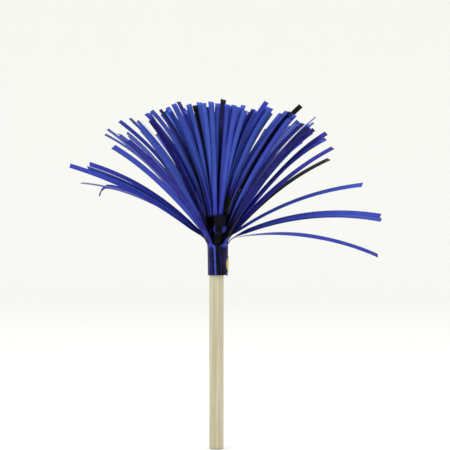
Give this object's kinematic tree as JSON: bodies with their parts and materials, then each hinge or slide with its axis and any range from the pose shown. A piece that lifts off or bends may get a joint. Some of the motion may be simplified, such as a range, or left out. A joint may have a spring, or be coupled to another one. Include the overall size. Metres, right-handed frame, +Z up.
{
  "type": "cheer pom pom",
  "caption": "Small cheer pom pom: metallic blue film streamers fanning out of a film collar wound round the top of a plain wooden stick.",
  "frame": {"origin": "centre of the flat bottom end of the stick", "axes": "+Z up the stick, +X to the side where the film winding is thickest and the sticker is, +Y to the back, where the staples are; the opening in the streamers' roots faces -Y"},
  "size_m": [0.2782, 0.2055, 0.3088],
  "materials": {
    "stick_wood": "bare sanded pale wood",
    "streamer_film": "mirror-bright metallised royal blue film",
    "collar_film": "wound metallised royal blue film, glossy",
    "staple_steel": "bright zinc-coated wire",
    "sticker": "satin gold foil paper"
  },
  "bodies": {
    "stick": {"handle_dowel": "stick_wood", "header_inner": "collar_film", "header_middle": "collar_film", "header_outer": "collar_film", "seal_sticker": "sticker", "staple_lower": "staple_steel", "staple_upper": "staple_steel"},
    "side_lock_1": {"side_lock_1_inner": "streamer_film", "side_lock_1_outer": "streamer_film"},
    "side_lock_2": {"side_lock_2_inner": "streamer_film", "side_lock_2_outer": "streamer_film"},
    "side_lock_3": {"side_lock_3_inner": "streamer_film", "side_lock_3_outer": "streamer_film"},
    "side_lock_4": {"side_lock_4_inner": "streamer_film", "side_lock_4_outer": "streamer_film"},
    "side_lock_5": {"side_lock_5_inner": "streamer_film", "side_lock_5_outer": "streamer_film"},
    "side_lock_6": {"side_lock_6_inner": "streamer_film", "side_lock_6_outer": "streamer_film"},
    "side_lock_7": {"side_lock_7_inner": "streamer_film", "side_lock_7_outer": "streamer_film"},
    "side_lock_8": {"side_lock_8_inner": "streamer_film", "side_lock_8_outer": "streamer_film"},
    "side_lock_9": {"side_lock_9_inner": "streamer_film", "side_lock_9_outer": "streamer_film"},
    "crown_lock_1": {"crown_lock_1_inner": "streamer_film", "crown_lock_1_outer": "streamer_film"},
    "crown_lock_2": {"crown_lock_2_inner": "streamer_film", "crown_lock_2_outer": "streamer_film"},
    "crown_lock_3": {"crown_lock_3_inner": "streamer_film", "crown_lock_3_outer": "streamer_film"},
    "crown_lock_4": {"crown_lock_4_inner": "streamer_film", "crown_lock_4_outer": "streamer_film"},
    "crown_lock_5": {"crown_lock_5_inner": "streamer_film", "crown_lock_5_outer": "streamer_film"},
    "crown_lock_6": {"crown_lock_6_inner": "streamer_film", "crown_lock_6_outer": "streamer_film"},
    "crown_lock_7": {"crown_lock_7_inner": "streamer_film", "crown_lock_7_outer": "streamer_film"},
    "crown_lock_8": {"crown_lock_8_inner": "streamer_film", "crown_lock_8_outer": "streamer_film"},
    "crown_lock_9": {"crown_lock_9_inner": "streamer_film", "crown_lock_9_outer": "streamer_film"},
    "crown_lock_10": {"crown_lock_10_inner": "streamer_film", "crown_lock_10_outer": "streamer_film"},
    "crown_lock_11": {"crown_lock_11_inner": "streamer_film", "crown_lock_11_outer": "streamer_film"},
    "crown_lock_12": {"crown_lock_12_inner": "streamer_film", "crown_lock_12_outer": "streamer_film"},
    "loose_streamer_left_high": {"loose_streamer_left_high": "streamer_film"},
    "loose_streamer_left_middle": {"loose_streamer_left_middle": "streamer_film"},
    "loose_streamer_left_low": {"loose_streamer_left_low": "streamer_film"},
    "loose_streamer_right_low": {"loose_streamer_right_low": "streamer_film"},
    "loose_streamer_right_middle": {"loose_streamer_right_middle": "streamer_film"},
    "loose_streamer_right_high": {"loose_streamer_right_high": "streamer_film"},
    "loose_streamer_right_upper": {"loose_streamer_right_upper": "streamer_film"}
  },
  "joints": [
    {"name": "side_lock_1_flex", "type": "hinge", "parent": "stick", "child": "side_lock_1", "pos_m": [0.00709, -0.00478, 0.1819], "axis": [0.5592, 0.829, 0], "range_deg": [-3, 12], "stiffness_Nm_per_rad": 0.008, "springref_deg": -2.09},
    {"name": "side_lock_2_flex", "type": "hinge", "parent": "stick", "child": "side_lock_2", "pos_m": [0.00855, -0.0003, 0.1819], "axis": [0.0349, 0.9994, 0], "range_deg": [-3, 24], "stiffness_Nm_per_rad": 0.008, "springref_deg": -2.09},
    {"name": "side_lock_3_flex", "type": "hinge", "parent": "stick", "child": "side_lock_3", "pos_m": [0.00741, 0.00428, 0.1819], "axis": [-0.5, 0.866, 0], "range_deg": [-3, 5], "stiffness_Nm_per_rad": 0.008, "springref_deg": -2.06},
    {"name": "side_lock_4_flex", "type": "hinge", "parent": "stick", "child": "side_lock_4", "pos_m": [0.00401, 0.00755, 0.1819], "axis": [-0.8829, 0.4695, 0], "range_deg": [-3, 24], "stiffness_Nm_per_rad": 0.008, "springref_deg": -2.01},
    {"name": "side_lock_5_flex", "type": "hinge", "parent": "stick", "child": "side_lock_5", "pos_m": [-0.0006, 0.00853, 0.1819], "axis": [-0.9976, -0.0698, 0], "range_deg": [-3, 24], "stiffness_Nm_per_rad": 0.008, "springref_deg": -1.98},
    {"name": "side_lock_6_flex", "type": "hinge", "parent": "stick", "child": "side_lock_6", "pos_m": [-0.00503, 0.00692, 0.1819], "axis": [-0.809, -0.5878, 0], "range_deg": [-3, 24], "stiffness_Nm_per_rad": 0.008, "springref_deg": -2.07},
    {"name": "side_lock_7_flex", "type": "hinge", "parent": "stick", "child": "side_lock_7", "pos_m": [-0.00793, 0.0032, 0.1819], "axis": [-0.3746, -0.9272, 0], "range_deg": [-3, 14], "stiffness_Nm_per_rad": 0.008, "springref_deg": -2.08},
    {"name": "side_lock_8_flex", "type": "hinge", "parent": "stick", "child": "side_lock_8", "pos_m": [-0.00842, -0.00148, 0.1819], "axis": [0.1736, -0.9848, 0], "range_deg": [-3, 16], "stiffness_Nm_per_rad": 0.008, "springref_deg": -2.07},
    {"name": "side_lock_9_flex", "type": "hinge", "parent": "stick", "child": "side_lock_9", "pos_m": [-0.00635, -0.00572, 0.1819], "axis": [0.6691, -0.7431, 0], "range_deg": [-3, 10], "stiffness_Nm_per_rad": 0.008, "springref_deg": -2.03},
    {"name": "crown_lock_1_flex", "type": "hinge", "parent": "stick", "child": "crown_lock_1", "pos_m": [-0.00121, -0.00922, 0.2078], "axis": [0.9914, -0.1305, 0], "range_deg": [-4, 20], "stiffness_Nm_per_rad": 0.008, "springref_deg": -0.79},
    {"name": "crown_lock_2_flex", "type": "hinge", "parent": "stick", "child": "crown_lock_2", "pos_m": [0.00356, -0.00859, 0.2078], "axis": [0.9239, 0.3827, 0], "range_deg": [-4, 20], "stiffness_Nm_per_rad": 0.008, "springref_deg": -0.75},
    {"name": "crown_lock_3_flex", "type": "hinge", "parent": "stick", "child": "crown_lock_3", "pos_m": [0.00738, -0.00566, 0.2078], "axis": [0.6088, 0.7934, 0], "range_deg": [-4, 3], "stiffness_Nm_per_rad": 0.008, "springref_deg": -0.82},
    {"name": "crown_lock_4_flex", "type": "hinge", "parent": "stick", "child": "crown_lock_4", "pos_m": [0.00922, -0.00121, 0.2078], "axis": [0.1305, 0.9914, 0], "range_deg": [-4, 3], "stiffness_Nm_per_rad": 0.008, "springref_deg": -0.83},
    {"name": "crown_lock_5_flex", "type": "hinge", "parent": "stick", "child": "crown_lock_5", "pos_m": [0.00859, 0.00356, 0.2078], "axis": [-0.3827, 0.9239, 0], "range_deg": [-4, 3], "stiffness_Nm_per_rad": 0.008, "springref_deg": -0.86},
    {"name": "crown_lock_6_flex", "type": "hinge", "parent": "stick", "child": "crown_lock_6", "pos_m": [0.00566, 0.00738, 0.2078], "axis": [-0.7934, 0.6088, 0], "range_deg": [-4, 3], "stiffness_Nm_per_rad": 0.008, "springref_deg": -0.77},
    {"name": "crown_lock_7_flex", "type": "hinge", "parent": "stick", "child": "crown_lock_7", "pos_m": [0.00121, 0.00922, 0.2078], "axis": [-0.9914, 0.1305, 0], "range_deg": [-4, 3], "stiffness_Nm_per_rad": 0.008, "springref_deg": -0.77},
    {"name": "crown_lock_8_flex", "type": "hinge", "parent": "stick", "child": "crown_lock_8", "pos_m": [-0.00356, 0.00859, 0.2078], "axis": [-0.9239, -0.3827, 0], "range_deg": [-4, 3], "stiffness_Nm_per_rad": 0.008, "springref_deg": -0.77},
    {"name": "crown_lock_9_flex", "type": "hinge", "parent": "stick", "child": "crown_lock_9", "pos_m": [-0.00738, 0.00566, 0.2078], "axis": [-0.6088, -0.7934, 0], "range_deg": [-4, 3], "stiffness_Nm_per_rad": 0.008, "springref_deg": -0.84},
    {"name": "crown_lock_10_flex", "type": "hinge", "parent": "stick", "child": "crown_lock_10", "pos_m": [-0.00922, 0.00121, 0.2078], "axis": [-0.1305, -0.9914, 0], "range_deg": [-4, 3], "stiffness_Nm_per_rad": 0.008, "springref_deg": -0.81},
    {"name": "crown_lock_11_flex", "type": "hinge", "parent": "stick", "child": "crown_lock_11", "pos_m": [-0.00859, -0.00356, 0.2078], "axis": [0.3827, -0.9239, 0], "range_deg": [-4, 3], "stiffness_Nm_per_rad": 0.008, "springref_deg": -0.84},
    {"name": "crown_lock_12_flex", "type": "hinge", "parent": "stick", "child": "crown_lock_12", "pos_m": [-0.00566, -0.00738, 0.2078], "axis": [0.7934, -0.6088, 0], "range_deg": [-4, 3], "stiffness_Nm_per_rad": 0.008, "springref_deg": -0.79},
    {"name": "loose_streamer_left_high_flex", "type": "hinge", "parent": "stick", "child": "loose_streamer_left_high", "pos_m": [-0.00556, -0.0089, 0.1819], "axis": [0.848, -0.5299, 0], "range_deg": [-10, 30], "stiffness_Nm_per_rad": 0.003, "springref_deg": -2.96},
    {"name": "loose_streamer_left_middle_flex", "type": "hinge", "parent": "stick", "child": "loose_streamer_left_middle", "pos_m": [-0.00944, -0.0046, 0.1819], "axis": [0.4384, -0.8988, 0], "range_deg": [-10, 30], "stiffness_Nm_per_rad": 0.003, "springref_deg": -2.89},
    {"name": "loose_streamer_left_low_flex", "type": "hinge", "parent": "stick", "child": "loose_streamer_left_low", "pos_m": [-0.0087, 0.00587, 0.1819], "axis": [-0.5592, -0.829, 0], "range_deg": [-10, 30], "stiffness_Nm_per_rad": 0.003, "springref_deg": -3.29},
    {"name": "loose_streamer_right_low_flex", "type": "hinge", "parent": "stick", "child": "loose_streamer_right_low", "pos_m": [0.01019, 0.00254, 0.1819], "axis": [-0.2419, 0.9703, 0], "range_deg": [-10, 30], "stiffness_Nm_per_rad": 0.0015, "springref_deg": -3.86},
    {"name": "loose_streamer_right_middle_flex", "type": "hinge", "parent": "stick", "child": "loose_streamer_right_middle", "pos_m": [0.00999, -0.00325, 0.1819], "axis": [0.309, 0.9511, 0], "range_deg": [-10, 30], "stiffness_Nm_per_rad": 0.0015, "springref_deg": -3.52},
    {"name": "loose_streamer_right_high_flex", "type": "hinge", "parent": "stick", "child": "loose_streamer_right_high", "pos_m": [0.00729, -0.00755, 0.1819], "axis": [0.7193, 0.6947, 0], "range_deg": [-10, 30], "stiffness_Nm_per_rad": 0.0015, "springref_deg": -3.4},
    {"name": "loose_streamer_right_upper_flex", "type": "hinge", "parent": "stick", "child": "loose_streamer_right_upper", "pos_m": [0.00804, 0.00675, 0.1819], "axis": [-0.6428, 0.766, 0], "range_deg": [-5, 30], "stiffness_Nm_per_rad": 0.003, "springref_deg": -2.89}
  ]
}
